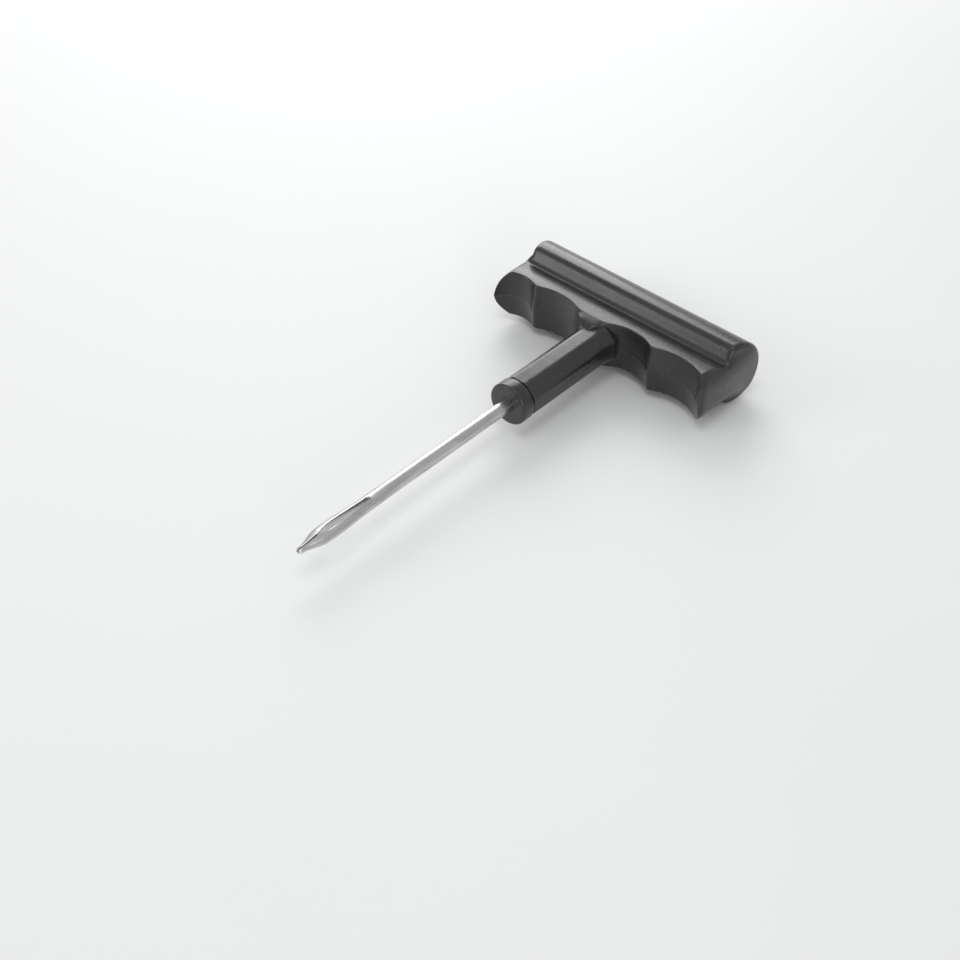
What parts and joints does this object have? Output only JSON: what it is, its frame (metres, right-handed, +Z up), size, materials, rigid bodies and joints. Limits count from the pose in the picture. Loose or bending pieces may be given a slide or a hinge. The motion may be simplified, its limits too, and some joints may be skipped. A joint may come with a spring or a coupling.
{
  "type": "tyre plug insertion tool",
  "caption": "T-handled hand tool with a finger-grooved bar, a faceted neck and a steel needle ending in a split eye for pushing plug strips.",
  "frame": {"origin": "under the middle of the tool's length and of the bar's length, on the surface the tool lies on", "axes": "+X along the needle, from the split tip towards the palm side of the bar; +Y along the bar; +Z up from the surface the tool lies on"},
  "size_m": [0.1426, 0.0772, 0.0204],
  "materials": {
    "black_plastic": "satin black moulding",
    "plated_steel": "bright plated",
    "pin_steel": "plain"
  },
  "bodies": {
    "root": {"handle": "black_plastic", "needle": "plated_steel", "cross_pin": "pin_steel"}
  },
  "joints": []
}
